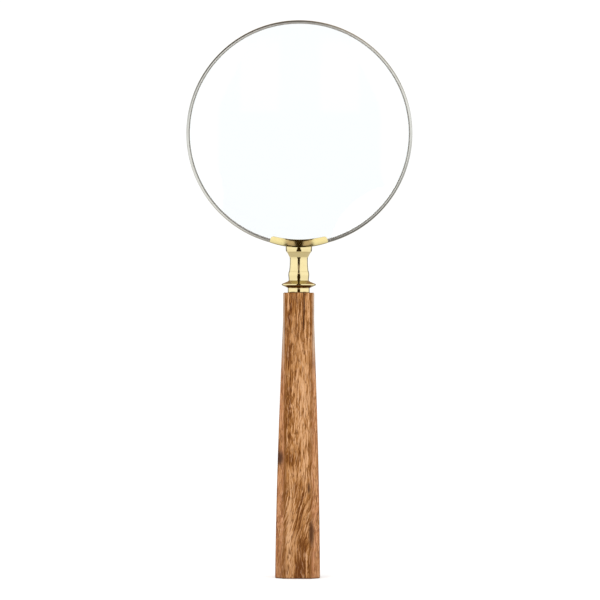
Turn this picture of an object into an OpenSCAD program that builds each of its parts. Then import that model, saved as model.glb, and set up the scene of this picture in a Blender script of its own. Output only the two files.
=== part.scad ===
// Hand-held magnifying glass: a round glass lens in a split brass rim, carried by a brass
// saddle and a turned neck that screws into a square, widening wooden handle.
// Sizes are in millimetres. The handle stands upright on its butt face, +Z runs up the
// handle to the lens, X runs across the lens and the optical axis is Y.

/* [Lens] */
// Diameter of the glass
lens_diameter = 101.2; // [80:0.1:130]
// Radius of each curved face of the glass
lens_face_radius = 320; // [150:1:600]
// Thickness of the glass at its edge
lens_edge_thickness = 2.3; // [1.5:0.1:4]
// Bevel ground on both corners of the edge
lens_edge_bevel = 0.25; // [0:0.05:0.5]
// Thickness of the paper packing between the glass and the rim
packing_thickness = 0.28; // [0.1:0.01:0.5]

/* [Rim] */
// Outside diameter of the brass rim
rim_diameter = 103; // [82:0.1:134]
// Depth of the rim from its front face to its back face
rim_depth = 4.4; // [3:0.1:8]
// Thickness of the metal the rim is rolled from
rim_wall = 0.6; // [0.4:0.05:1.2]
// Height of the lips that hold the glass, measured from the outside of the rim
rim_lip_height = 1.7; // [1:0.1:3]
// Radius on the rounded shoulders of the rim
rim_corner_radius = 1.1; // [0.1:0.05:1.2]
// Angle of the cut in the rim above the neck, in degrees
rim_split_angle = 0.7; // [0.4:0.1:2]
// Diameter of the split peg that the two rim tails make together
tail_diameter = 4.4; // [3:0.1:5]
// Slot left between the two tails
tail_gap = 0.6; // [0.2:0.1:1]

/* [Saddle] */
// Angle from the middle of the saddle to each tip, in degrees
saddle_half_angle = 15; // [10:0.5:25]
// Height of the cheeks over the inside edge of the rim
saddle_cheek_height = 1.6; // [0.5:0.1:4]
// Depth of the saddle at its middle, front to back
saddle_middle_depth = 9.4; // [6:0.1:14]
// Depth of the saddle at its tips, front to back
saddle_tip_depth = 5.7; // [4.8:0.1:8]
// Thickness of metal under the rim at the middle of the saddle
saddle_web = 0.48; // [0.4:0.01:2]
// Radius of the curved underside
saddle_underside_radius = 41; // [30:0.5:50]

/* [Neck] */
// Height of the neck from the flange to the middle of the saddle
neck_height = 15.2; // [12:0.1:25]
// Diameter of the barrel-shaped foot where it meets the flange
neck_foot_diameter = 9.15; // [8:0.05:12]
// Height of the foot
neck_foot_height = 4; // [2:0.1:8]
// How far the foot swells at its widest, on the radius
neck_foot_swell = 0.17; // [0:0.01:0.6]
// Diameter of the waist at its narrowest
neck_waist_diameter = 8.2; // [7:0.1:11]
// Height of the slow flare from the foot up to the waist
neck_flare_height = 4.9; // [2:0.1:8]
// How far that flare stands out at its lower end, on the radius
neck_flare_reach = 0.26; // [0.1:0.01:0.6]
// Diameter at the top of the bell that opens from the waist to the cup
neck_bell_diameter = 10.7; // [8.5:0.1:13]
// Height of the bell
neck_bell_height = 2.55; // [1:0.05:5]
// Diameter of the cup at its lower edge
neck_cup_base_diameter = 11.2; // [9:0.1:14]
// Diameter of the cup under the saddle
neck_cup_diameter = 12.05; // [9:0.05:14]
// Height of the cup
neck_cup_height = 2.35; // [1:0.05:4]

/* [Flange and ferrule] */
// Diameter of the sharp-edged flange
flange_diameter = 15.6; // [11:0.1:20]
// Height of the flange
flange_height = 3.3; // [2:0.1:6]
// Height of the narrow band on the edge of the flange
flange_land = 0.6; // [0.3:0.05:1.5]
// Height of the middle of that band over the bottom of the flange
flange_edge_height = 1.55; // [0.8:0.05:3]
// Diameter of the ferrule on top of the handle
ferrule_diameter = 10; // [9:0.1:13]
// Height of the ferrule
ferrule_height = 2.1; // [1.5:0.1:6]
// Thickness of the top of the ferrule, over the end of the threaded insert
ferrule_web = 0.6; // [0.4:0.1:1.2]

/* [Screw] */
// Outside diameter of the thread on the stud, an M5 thread drawn plain
thread_diameter = 5; // [4:0.5:6]
// Running clearance between stud and threaded insert, on the radius
thread_clearance = 0.05; // [0.02:0.01:0.1]
// Length of stud held in the neck
stud_seat_length = 8; // [5:0.1:10]
// Length of stud inside the threaded insert
stud_grip_length = 13.5; // [8:0.1:20]
// Outside diameter of the threaded insert
insert_diameter = 8; // [7:0.1:9]
// Length of the threaded insert
insert_length = 14.5; // [10:0.1:22]

/* [Handle] */
// Length of the wooden handle
handle_length = 129.7; // [80:0.1:160]
// Width across the flats at the top
handle_top_width = 14.1; // [12:0.1:20]
// Width across the flats at the butt
handle_butt_width = 20.4; // [14:0.1:30]
// Width of each flat between the planed corners
handle_flat_width = 12.6; // [8:0.1:18]
// Part of the length that stays parallel at the top
handle_parallel_part = 0.1; // [0:0.01:0.3]
// Softened edge at the two ends
handle_edge_break = 0.5; // [0.2:0.1:1]
// How deep the long edges between flats and planed corners are sanded down
handle_arris_depth = 0.08; // [0.03:0.01:0.1]

/* [Hidden] */
$fn = 96;
fit_gap = 0.02;

lens_radius = lens_diameter / 2;
rim_radius = rim_diameter / 2;
rim_floor_radius = rim_radius - rim_wall;
rim_lip_radius = rim_radius - rim_lip_height;
rim_inside_half = rim_depth / 2 - rim_wall;
packing_radius = rim_floor_radius - fit_gap;
packing_half = rim_inside_half - fit_gap;

// Heights over the butt face, from the handle upwards.
ferrule_base = handle_length;
flange_base = ferrule_base + ferrule_height;
neck_base = flange_base + flange_height;
saddle_base = neck_base + neck_height;
ring_height = saddle_base + saddle_web + fit_gap + rim_radius;

saddle_seat_radius = rim_radius + fit_gap;
saddle_inner_radius = rim_lip_radius - saddle_cheek_height;
underside_height = saddle_base + saddle_underside_radius;
tip_reach = rim_radius * sin(saddle_half_angle);
saddle_swell = (saddle_middle_depth - saddle_tip_depth) / 2;
saddle_bow_radius = (tip_reach * tip_reach + saddle_swell * saddle_swell) / (2 * saddle_swell);
tail_radius = tail_diameter / 2;
tail_length = 5.6;
tail_hole_radius = tail_radius + 0.05;

stud_radius = thread_diameter / 2;
stud_tip = flange_base - ferrule_web - stud_grip_length;
stud_top = neck_base + stud_seat_length - 0.05;
insert_top = flange_base - ferrule_web;
insert_base = insert_top - insert_length;
insert_radius = insert_diameter / 2;
loose_hole_radius = stud_radius + 0.1;

taper_steps = 16;

// Stands a shape turned about Z on its edge, centred on the lens with its axis along Y.
module about_lens() {
    translate([0, 0, ring_height])
        rotate([90, 0, 0])
            children();
}

// A round bar along the optical axis, centred on the given height.
module cross_bar(radius, height, depth) {
    translate([0, 0, height])
        rotate([90, 0, 0])
            cylinder(r = radius, h = depth, center = true);
}

module lens_outline() {
    bevel_radius = lens_radius - lens_edge_bevel;
    half_edge = lens_edge_thickness / 2;
    centre_shift = sqrt(lens_face_radius * lens_face_radius - lens_radius * lens_radius) - half_edge;
    intersection() {
        translate([0, centre_shift])
            circle(r = lens_face_radius, $fn = 1440);
        translate([0, -centre_shift])
            circle(r = lens_face_radius, $fn = 1440);
        polygon([
            [0, -2 * lens_edge_thickness - 6],
            [bevel_radius, -2 * lens_edge_thickness - 6],
            [bevel_radius, -half_edge],
            [lens_radius, lens_edge_bevel - half_edge],
            [lens_radius, half_edge - lens_edge_bevel],
            [bevel_radius, half_edge],
            [bevel_radius, 2 * lens_edge_thickness + 6],
            [0, 2 * lens_edge_thickness + 6]
        ]);
    }
}

// The glass: two equal convex faces and a narrow ground edge.
module lens() {
    color([0.90, 0.96, 0.97])
        about_lens()
            rotate_extrude($fn = 240)
                lens_outline();
}

// A paper strip folded round the edge of the glass, hidden under the lips of the rim.
module lens_packing() {
    strip_floor = packing_radius - packing_thickness + 2 * fit_gap;
    strip_inside = packing_half - packing_thickness;
    color([0.86, 0.82, 0.72])
        about_lens()
            rotate_extrude($fn = 240)
                polygon([
                    [rim_lip_radius + 0.1, -packing_half],
                    [packing_radius, -packing_half],
                    [packing_radius, packing_half],
                    [rim_lip_radius + 0.1, packing_half],
                    [rim_lip_radius + 0.1, strip_inside],
                    [strip_floor, strip_inside],
                    [strip_floor, -strip_inside],
                    [rim_lip_radius + 0.1, -strip_inside]
                ]);
}

module rim_outline() {
    corner_centre = rim_radius - rim_corner_radius;
    corner_height = rim_depth / 2 - rim_corner_radius;
    difference() {
        union() {
            translate([rim_lip_radius, -rim_depth / 2])
                square([corner_centre - rim_lip_radius, rim_depth]);
            translate([corner_centre, -corner_height])
                square([rim_corner_radius, 2 * corner_height]);
            translate([corner_centre, corner_height])
                circle(r = rim_corner_radius);
            translate([corner_centre, -corner_height])
                circle(r = rim_corner_radius);
        }
        translate([rim_lip_radius - 1, -rim_inside_half])
            square([rim_floor_radius - rim_lip_radius + 1, 2 * rim_inside_half]);
    }
}

// The rim: one strip rolled into a channel and bent to a ring, cut through over the neck.
module rim() {
    color([0.85, 0.76, 0.52])
        about_lens()
            rotate([0, 0, rim_split_angle / 2 - 90])
                rotate_extrude(angle = 360 - rim_split_angle, $fn = 240)
                    rim_outline();
}

// One half of the split peg under the cut in the rim. Side is -1 on the left, +1 on the right.
module rim_tail(side) {
    slab = tail_diameter + 1;
    color([0.83, 0.70, 0.42])
        difference() {
            translate([0, 0, saddle_base - tail_length])
                cylinder(r = tail_radius, h = tail_length + 2);
            translate([-side * (slab / 2 - tail_gap / 2), 0, saddle_base])
                cube([slab, slab, 4 * tail_length], center = true);
            cross_bar(rim_radius + fit_gap, ring_height, 4 * tail_diameter);
        }
}

module rim_tail_left() {
    rim_tail(-1);
}

module rim_tail_right() {
    rim_tail(1);
}

// The saddle: a boat-shaped cradle, deepest over the neck, with a channel for the rim.
module saddle() {
    bow_shift = saddle_bow_radius - saddle_middle_depth / 2;
    outer_radius = rim_radius + saddle_web + 2;
    blank_height = 4 * (rim_lip_height + saddle_cheek_height) + 4;
    color([0.90, 0.77, 0.47])
        difference() {
            intersection() {
                about_lens()
                    rotate([0, 0, -90 - saddle_half_angle])
                        rotate_extrude(angle = 2 * saddle_half_angle, $fn = 240)
                            translate([saddle_inner_radius, -saddle_middle_depth])
                                square([outer_radius - saddle_inner_radius, 2 * saddle_middle_depth]);
                cross_bar(saddle_underside_radius, underside_height, 4 * saddle_middle_depth);
                translate([0, bow_shift, saddle_base - 2])
                    cylinder(r = saddle_bow_radius, h = blank_height, $fn = 240);
                translate([0, -bow_shift, saddle_base - 2])
                    cylinder(r = saddle_bow_radius, h = blank_height, $fn = 240);
            }
            cross_bar(saddle_seat_radius, ring_height, rim_depth + 2 * fit_gap);
            translate([0, 0, saddle_base - 1])
                cylinder(r = tail_hole_radius, h = 4);
        }
}

// Radii of the neck at a part s of the height of its foot, its flare, its bell and its cup.
function foot_radius(s) =
    neck_foot_diameter / 2 + neck_foot_swell * sin(180 * pow(s, 1.8)) + 0.04 * s;

function flare_radius(s) =
    neck_waist_diameter / 2 + neck_flare_reach * pow(1 - s, 2);

function bell_radius(s) =
    neck_waist_diameter / 2 + (neck_bell_diameter - neck_waist_diameter) / 2 * pow(s, 1.1);

function cup_radius(s) =
    neck_cup_base_diameter / 2 + (neck_cup_diameter - neck_cup_base_diameter) / 2 * (1 - pow(1 - s, 3));

module neck_outline() {
    cup_base = saddle_base - neck_cup_height;
    bell_base = cup_base - neck_bell_height;
    foot_top = neck_base + neck_foot_height;
    flare_base = foot_top + 0.35;
    polygon(concat(
        [[0, neck_base], [foot_radius(0) - 0.1, neck_base], [foot_radius(0), neck_base + 0.1]],
        [for (i = [1 : 10]) [foot_radius(i / 10), neck_base + neck_foot_height * i / 10]],
        [for (i = [0 : 8]) [flare_radius(i / 8), flare_base + neck_flare_height * i / 8]],
        [for (i = [0 : 12]) [bell_radius(i / 12), bell_base + neck_bell_height * i / 12]],
        [for (i = [0 : 8]) [cup_radius(i / 8), cup_base + 0.05 + (neck_cup_height - 0.05) * i / 8]],
        [[cup_radius(1), saddle_base + 3], [0, saddle_base + 3]]
    ));
}

// The neck: a turned pillar, shaped at the top to the underside of the saddle, with a
// socket for the rim tails above and a socket for the stud below.
module neck() {
    color([0.93, 0.80, 0.50])
        difference() {
            rotate_extrude()
                neck_outline();
            cross_bar(saddle_underside_radius + fit_gap, underside_height, 30);
            translate([0, 0, saddle_base - tail_length - 0.1])
                cylinder(r = tail_hole_radius, h = tail_length + 5);
            translate([0, 0, neck_base - 1])
                cylinder(r = stud_radius + fit_gap, h = stud_seat_length + 1);
        }
}

// The stud: fixed in the neck, its lower end screws into the threaded insert.
module neck_stud() {
    tip = 0.6;
    color([0.80, 0.66, 0.38])
        rotate_extrude()
            polygon([
                [0, stud_tip],
                [stud_radius - tip, stud_tip],
                [stud_radius, stud_tip + tip],
                [stud_radius, stud_top - 0.3],
                [stud_radius - 0.3, stud_top],
                [0, stud_top]
            ]);
}

// The flange: a loose double-cone washer, pinched between the neck and the ferrule.
module flange() {
    edge = flange_diameter / 2;
    land_base = flange_base + flange_edge_height - flange_land / 2;
    land_top = land_base + flange_land;
    hub = ferrule_diameter / 2;
    collar = neck_foot_diameter / 2 + 0.15;
    under = land_base - flange_base;
    over = neck_base - land_top;
    color([0.88, 0.72, 0.42])
        rotate_extrude()
            polygon([
                [loose_hole_radius, flange_base],
                [hub, flange_base],
                [hub + 0.22 * (edge - hub), flange_base + 0.17 * under],
                [edge - 0.12, land_base],
                [edge, land_base + 0.12],
                [edge, land_top - 0.12],
                [edge - 0.12, land_top],
                [collar + 0.12 * (edge - collar), neck_base - 0.24 * over],
                [collar, neck_base],
                [loose_hole_radius, neck_base]
            ]);
}

// The ferrule: a shallow brass cap pressed over the end of the threaded insert.
module ferrule() {
    outer = ferrule_diameter / 2;
    color([0.92, 0.79, 0.49])
        rotate_extrude()
            polygon([
                [insert_radius + fit_gap, ferrule_base],
                [outer, ferrule_base],
                [outer, flange_base - 0.15],
                [outer - 0.15, flange_base],
                [loose_hole_radius, flange_base],
                [loose_hole_radius, insert_top + fit_gap],
                [insert_radius + fit_gap, insert_top + fit_gap]
            ]);
}

// The threaded insert: a brass bush glued into the end grain of the handle.
module threaded_insert() {
    bore = stud_radius + thread_clearance;
    color([0.80, 0.66, 0.38])
        rotate_extrude()
            polygon([
                [bore, insert_base],
                [insert_radius - 0.3, insert_base],
                [insert_radius, insert_base + 0.3],
                [insert_radius, insert_top],
                [bore + 0.3, insert_top],
                [bore, insert_top - 0.3]
            ]);
}

// How far the handle has widened, from 0 in the parallel part to 1 at the butt.
function widening(height) =
    let (u = max(0, (1 - height / handle_length - handle_parallel_part) / (1 - handle_parallel_part)))
    0.75 * sin(90 * u) + 0.25 * u;

function half_flats(height) =
    (handle_top_width + (handle_butt_width - handle_top_width) * widening(height)) / 2;

// Distance from the axis to the planed corners, which leaves the flats an even width.
function half_corners(height) = (half_flats(height) + handle_flat_width / 2) / sqrt(2);

// Distance from the axis to the sanded faces, which lie halfway between flats and corners.
function half_arrises(height) =
    half_flats(height) * cos(22.5) + handle_flat_width / 2 * sin(22.5) - handle_arris_depth;

// Heights at which the taper is drawn, from the butt to the top.
function taper_heights() = concat(
    [for (i = [1 : taper_steps]) handle_length * (1 - handle_parallel_part) * i / taper_steps],
    [handle_length - handle_edge_break]
);

// A slab through the handle: both faces follow the taper, given as half widths.
module tapered_slab(base_half, sides) {
    top = len(sides) - 1;
    right = concat(
        [[base_half - handle_edge_break, 0], [base_half, handle_edge_break]],
        sides,
        [[sides[top][0] - handle_edge_break, handle_length]]
    );
    last = len(right) - 1;
    rotate([90, 0, 0])
        linear_extrude(height = 3 * handle_butt_width, center = true)
            polygon(concat(right, [for (i = [0 : last]) [-right[last - i][0], right[last - i][1]]]));
}

// The handle: square with planed corners and sanded edges, widening to the butt, bored
// for the insert.
module handle() {
    flats = [for (h = taper_heights()) [half_flats(h), h]];
    corners = [for (h = taper_heights()) [half_corners(h), h]];
    arrises = [for (h = taper_heights()) [half_arrises(h), h]];
    color([0.70, 0.49, 0.31])
        difference() {
            intersection() {
                tapered_slab(half_flats(0), flats);
                rotate([0, 0, 90])
                    tapered_slab(half_flats(0), flats);
                rotate([0, 0, 45])
                    tapered_slab(half_corners(0), corners);
                rotate([0, 0, -45])
                    tapered_slab(half_corners(0), corners);
                rotate([0, 0, 22.5])
                    tapered_slab(half_arrises(0), arrises);
                rotate([0, 0, 67.5])
                    tapered_slab(half_arrises(0), arrises);
                rotate([0, 0, -22.5])
                    tapered_slab(half_arrises(0), arrises);
                rotate([0, 0, -67.5])
                    tapered_slab(half_arrises(0), arrises);
            }
            translate([0, 0, insert_base])
                cylinder(r = insert_radius + fit_gap, h = handle_length);
        }
}

lens();
lens_packing();
rim();
rim_tail_left();
rim_tail_right();
saddle();
neck();
neck_stud();
flange();
ferrule();
threaded_insert();
handle();
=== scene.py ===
"""Looks for a hand-held magnifying glass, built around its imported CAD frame.

Everything is in metres in the frame's own axes: the handle stands on its butt at the origin,
+Z runs up the handle to the lens and the optical axis is Y. Materials count in millimetres.
"""

import math

import bmesh
import bpy
from mathutils import Matrix, Vector


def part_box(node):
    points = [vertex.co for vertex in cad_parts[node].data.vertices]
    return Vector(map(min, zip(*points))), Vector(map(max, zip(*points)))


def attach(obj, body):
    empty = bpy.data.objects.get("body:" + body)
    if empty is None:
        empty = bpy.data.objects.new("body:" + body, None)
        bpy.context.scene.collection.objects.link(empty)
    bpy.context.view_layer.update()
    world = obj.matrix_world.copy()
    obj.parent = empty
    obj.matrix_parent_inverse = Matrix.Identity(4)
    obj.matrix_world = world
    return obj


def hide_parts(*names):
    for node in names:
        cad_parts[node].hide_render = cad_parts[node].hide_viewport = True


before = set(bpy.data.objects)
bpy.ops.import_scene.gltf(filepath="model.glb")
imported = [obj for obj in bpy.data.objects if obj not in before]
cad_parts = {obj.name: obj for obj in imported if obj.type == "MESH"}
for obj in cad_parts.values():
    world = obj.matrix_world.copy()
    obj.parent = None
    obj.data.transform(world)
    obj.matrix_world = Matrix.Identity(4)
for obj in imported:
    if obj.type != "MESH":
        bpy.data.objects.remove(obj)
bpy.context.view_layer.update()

MM = 0.001
TURN = 2 * math.pi

# ---------------------------------------------------------------- sizes read from the frame

lens_low, lens_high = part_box("lens")
packing_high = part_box("lens_packing")[1]
rim_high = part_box("rim")[1]
saddle_low, saddle_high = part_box("saddle")
neck_low, neck_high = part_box("neck")
stud_low, stud_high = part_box("neck_stud")
flange_low, flange_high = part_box("flange")
ferrule_low, ferrule_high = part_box("ferrule")
insert_low, insert_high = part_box("threaded_insert")
handle_low, handle_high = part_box("handle")
tail_low, tail_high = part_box("rim_tail_left")

LENS_CENTRE = (lens_low + lens_high) / 2
LENS_RADIUS = lens_high.x
LENS_HALF = lens_high.y
RIM_RADIUS = rim_high.x
RIM_HALF = rim_high.y
RIM_WALL = RIM_RADIUS - packing_high.x
STUD_RADIUS = stud_high.x
INSERT_RADIUS = insert_high.x
HANDLE_LENGTH = handle_high.z
HANDLE_BUTT = handle_high.x

# ---------------------------------------------------------------- sizes within the pieces

SEAT_GAP = 0.02 * MM        # left between two pieces that sit tight
LOOSE_GAP = 0.1 * MM        # left round the stud by the pieces that it turns in

LENS_EDGE_HALF = 1.15 * MM  # half the thickness of the glass at its edge
LENS_BEVEL = 0.25 * MM

RIM_LIP = 1.7 * MM          # how far the lips reach in from the outside of the rim
RIM_SHOULDER = 1.25 * MM    # the rounding of its outer corners
RIM_SPLIT = math.radians(0.7)

SADDLE_OVERLAP = 1.38 * MM  # how far the cheeks reach past the lips over the glass
SADDLE_INNER = RIM_RADIUS - RIM_LIP - SADDLE_OVERLAP
SADDLE_HALF_ANGLE = math.radians(15)
SADDLE_TIP_HALF = 2.85 * MM
SLOT_HALF = RIM_HALF + SEAT_GAP
UNDERSIDE_RADIUS = 41 * MM
UNDERSIDE_CENTRE = saddle_low.z + UNDERSIDE_RADIUS

CHEEK_LEAN = 0.28           # how far a cheek leans back, as a share of its thickness
CHEEK_CURVE = 0.08          # how much of that its curve takes back
CHEEK_FILLET = 0.10 * MM    # of a cheek's edges, other than where it is rounded more
MIDDLE_FILLET = 0.85 * MM   # added to the top edge over the middle of the saddle
MIDDLE_HALF = 4.3 * MM      # half the width of that middle
MIDDLE_FADE = 0.8 * MM      # over which the added rounding fades beside it
LOW_FILLET = 0.42 * MM
LARGEST_FILLET = 0.45       # as a share of a cheek's thickness

# The radii of the neck and the heights of its parts, from the foot up.
NECK_FOOT = 4.575 * MM
NECK_FLARE = 0.26 * MM
NECK_WAIST = 4.1 * MM
NECK_BELL = 5.35 * MM
NECK_CUP_BASE = 5.6 * MM
FOOT_HEIGHT = 4 * MM
FOOT_SWELL = 0.17 * MM
STEP_HEIGHT = 0.70 * MM
FLARE_HEIGHT = 4.55 * MM
BELL_HEIGHT = 2.55 * MM
CUP_HEIGHT = 2.35 * MM

THREAD_PITCH = 0.8 * MM
THREAD_DEPTH = 0.45 * MM
THREAD_GAP = 0.05 * MM
THREAD_RUNOUT = 0.7 * MM    # over which a thread fades at its ends
THREAD_CREST = 0.12         # share of half a pitch that is flat at the crest
THREAD_FLANK = 0.66         # share of half a pitch that slopes
ROWS_PER_PITCH = 14
INSERT_CHAMFER = 0.30 * MM
INSERT_GROOVE = 0.25 * MM
KNURL_DEPTH = 0.08 * MM

HANDLE_TOP = 7.05 * MM      # half the width across the flats at the top
HANDLE_FLAT = 6.3 * MM      # half the width of a flat, the same all the way up
HANDLE_PARALLEL = 0.1       # share of the length, at the top, that doesn't widen
HANDLE_BULGE = 0.75         # share of the widening that follows a curve, the rest a straight line
HANDLE_EDGE = 0.5 * MM      # the rounding of the butt and the top, and of the long arrises


# ---------------------------------------------------------------- mesh helpers

def new_object(name, verts, faces, smooth_angle=35):
    """A mesh object with outward normals, smooth apart from edges sharper than smooth_angle."""
    mesh = bpy.data.meshes.new(name)
    mesh.from_pydata([tuple(v) for v in verts], [], faces)
    mesh.update()
    cleaner = bmesh.new()
    cleaner.from_mesh(mesh)
    bmesh.ops.recalc_face_normals(cleaner, faces=cleaner.faces)
    cleaner.to_mesh(mesh)
    cleaner.free()
    mesh.polygons.foreach_set("use_smooth", [True] * len(mesh.polygons))
    mesh.set_sharp_from_angle(angle=math.radians(smooth_angle))
    piece = bpy.data.objects.new(name, mesh)
    bpy.context.scene.collection.objects.link(piece)
    return piece


def rounded(corners, steps):
    """A closed outline through (a, b, radius) corners, each one rounded to its radius."""
    outline = []
    count = len(corners)
    for i, (a, b, radius) in enumerate(corners):
        corner = Vector((a, b))
        if radius <= 0:
            outline.append(corner)
            continue
        before = (Vector(corners[i - 1][:2]) - corner).normalized()
        after = (Vector(corners[(i + 1) % count][:2]) - corner).normalized()
        half = before.angle(after) / 2
        centre = corner + (before + after).normalized() * radius / math.sin(half)
        arm = corner + before * radius / math.tan(half) - centre
        end = corner + after * radius / math.tan(half) - centre
        sweep = math.atan2(arm.x * end.y - arm.y * end.x, arm.dot(end))
        for k in range(steps + 1):
            turn = Matrix.Rotation(sweep * k / steps, 2)
            outline.append(centre + turn @ arm)
    return outline


def strip(rows, closed_rows, closed_columns):
    """Vertices and quad faces of a grid of rows, joined up end to end where it is closed."""
    columns = len(rows[0])
    verts = [v for row in rows for v in row]
    faces = []
    for i in range(len(rows) if closed_rows else len(rows) - 1):
        j = (i + 1) % len(rows)
        for k in range(columns if closed_columns else columns - 1):
            m = (k + 1) % columns
            faces.append((i * columns + k, i * columns + m, j * columns + m, j * columns + k))
    return verts, faces


def capped(rows):
    """Vertices and faces of a tube of rows, closed with one flat face at each end."""
    verts, faces = strip(rows, False, True)
    count = len(rows[0])
    faces.append(tuple(range(count)))
    faces.append(tuple((len(rows) - 1) * count + k for k in reversed(range(count))))
    return verts, faces


def circle(radius, height, segments):
    """A ring of points round the Z axis."""
    turns = [TURN * i / segments for i in range(segments)]
    return [Vector((radius * math.cos(t), radius * math.sin(t), height)) for t in turns]


def lathe(name, outline, segments, smooth_angle):
    """A closed outline of (radius, height) turned about the Z axis, with no point on the axis."""
    rows = []
    for i in range(segments):
        c, s = math.cos(TURN * i / segments), math.sin(TURN * i / segments)
        rows.append([Vector((p[0] * c, p[0] * s, p[1])) for p in outline])
    verts, faces = strip(rows, True, True)
    return new_object(name, verts, faces, smooth_angle)


def turned_solid(name, outline, segments, smooth_angle):
    """An open outline of (radius, height) turned about Z, closed with a point on the axis at both ends."""
    verts = [Vector((0, 0, outline[0][1])), Vector((0, 0, outline[-1][1]))]
    faces = []
    columns = len(outline)
    for i in range(segments):
        c, s = math.cos(TURN * i / segments), math.sin(TURN * i / segments)
        verts += [Vector((p[0] * c, p[0] * s, p[1])) for p in outline]
    for i in range(segments):
        here, there = 2 + i * columns, 2 + (i + 1) % segments * columns
        faces.append((0, there, here))
        faces.append((1, here + columns - 1, there + columns - 1))
        for k in range(columns - 1):
            faces.append((here + k, there + k, there + k + 1, here + k + 1))
    return new_object(name, verts, faces, smooth_angle)


def on_ring(radius, angle, depth):
    """A point of the lens ring. Angle 0 is straight down towards the handle."""
    x = radius * math.sin(angle)
    z = LENS_CENTRE.z - radius * math.cos(angle)
    return Vector((x, depth, z))


def keep(piece, body, slot, material, *replaced):
    """Gives a finished piece its material and its place in the frame, and hides the CAD nodes it stands for.
    """
    piece.data.materials.clear()
    piece.data.materials.append(material)
    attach(piece, body)
    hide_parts(*replaced)


# ---------------------------------------------------------------- material helpers

class Graph:
    """Builds a node material with one short call per node."""

    def __init__(self, tree):
        self.tree = tree
        self.tree.nodes.clear()

    def node(self, kind, **settings):
        made = self.tree.nodes.new(kind)
        for key, value in settings.items():
            setattr(made, key, value)
        return made

    def feed(self, socket, value):
        if isinstance(value, bpy.types.NodeSocket):
            self.tree.links.new(value, socket)
        elif value is not None:
            socket.default_value = value

    def math(self, operation, a, b=None, c=None, clamp=False):
        made = self.node("ShaderNodeMath", operation=operation, use_clamp=clamp)
        for socket, value in zip(made.inputs, (a, b, c)):
            self.feed(socket, value)
        return made.outputs[0]

    def vector(self, operation, a, b=None):
        made = self.node("ShaderNodeVectorMath", operation=operation)
        self.feed(made.inputs[0], a)
        self.feed(made.inputs[1], b)
        return made.outputs["Value"] if operation == "LENGTH" else made.outputs[0]

    def join(self, x, y, z):
        made = self.node("ShaderNodeCombineXYZ")
        for socket, value in zip(made.inputs, (x, y, z)):
            self.feed(socket, value)
        return made.outputs[0]

    def split(self, vector):
        made = self.node("ShaderNodeSeparateXYZ")
        self.feed(made.inputs[0], vector)
        return made.outputs

    def noise(self, vector, scale, detail=3.0, roughness=0.5):
        made = self.node("ShaderNodeTexNoise")
        self.feed(made.inputs["Vector"], vector)
        self.feed(made.inputs["Scale"], scale)
        self.feed(made.inputs["Detail"], detail)
        self.feed(made.inputs["Roughness"], roughness)
        return made.outputs["Fac"]

    def between(self, value, low, high, out_low=0.0, out_high=1.0):
        """Smoothly maps value from low..high to out_low..out_high, and no further."""
        made = self.node("ShaderNodeMapRange", interpolation_type="SMOOTHSTEP")
        for key, given in (("Value", value), ("From Min", low), ("From Max", high),
                           ("To Min", out_low), ("To Max", out_high)):
            self.feed(made.inputs[key], given)
        return made.outputs[0]

    def mix(self, factor, a, b):
        made = self.node("ShaderNodeMix", data_type="RGBA")
        self.feed(made.inputs["Factor"], factor)
        self.feed(made.inputs[6], a)
        self.feed(made.inputs[7], b)
        return made.outputs[2]

    def ramp(self, factor, stops):
        made = self.node("ShaderNodeValToRGB")
        self.feed(made.inputs[0], factor)
        elements = made.color_ramp.elements
        while len(elements) < len(stops):
            elements.new(0.5)
        for element, (place, colour) in zip(elements, stops):
            element.position = place
            element.color = (*colour, 1)
        return made.outputs[0]

    def bump(self, height, strength, distance):
        made = self.node("ShaderNodeBump")
        self.feed(made.inputs["Strength"], strength)
        self.feed(made.inputs["Distance"], distance)
        self.feed(made.inputs["Height"], height)
        return made.outputs[0]

    def finish(self, kind, **inputs):
        """The closing shader, with its inputs given by name with underscores for spaces."""
        shader = self.node(kind)
        for key, value in inputs.items():
            self.feed(shader.inputs[key.replace("_", " ")], value)
        output = self.node("ShaderNodeOutputMaterial")
        self.tree.links.new(shader.outputs[0], output.inputs["Surface"])


def new_material(name):
    material = bpy.data.materials.new(name)
    material.use_nodes = True
    return material, Graph(material.node_tree)


def object_place(graph, scale=1 / MM):
    """The point being shaded in the frame's own axes, in millimetres by default."""
    place = graph.node("ShaderNodeTexCoord").outputs["Object"]
    return graph.vector("MULTIPLY", place, (scale, scale, scale))


def grey(value):
    return (value, value, value, 1)


# ---------------------------------------------------------------- brass

def about_lens(g, place):
    """How far a point is across from the lens centre, above it and away from it."""
    across, _, above = g.split(g.vector("SUBTRACT", place, tuple(v / MM for v in LENS_CENTRE)))
    squares = g.math("ADD", g.math("MULTIPLY", across, across), g.math("MULTIPLY", above, above))
    return across, above, g.math("SQRT", squares)


def flange_painted_shade(g, place, tint):
    """Painted shade in the corner under the flange: its underside is darkened just above its base, by the
    ferrule.
    """
    height = g.math("SUBTRACT", g.split(place)[2], flange_low.z / MM)
    crevice_shade = g.math("MULTIPLY", g.between(height, -0.06, 0.02), g.between(height, 0.70, 0.40))
    return g.mix(g.math("MULTIPLY", crevice_shade, 0.75), tint, (0.20, 0.10, 0.03, 1))


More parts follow.
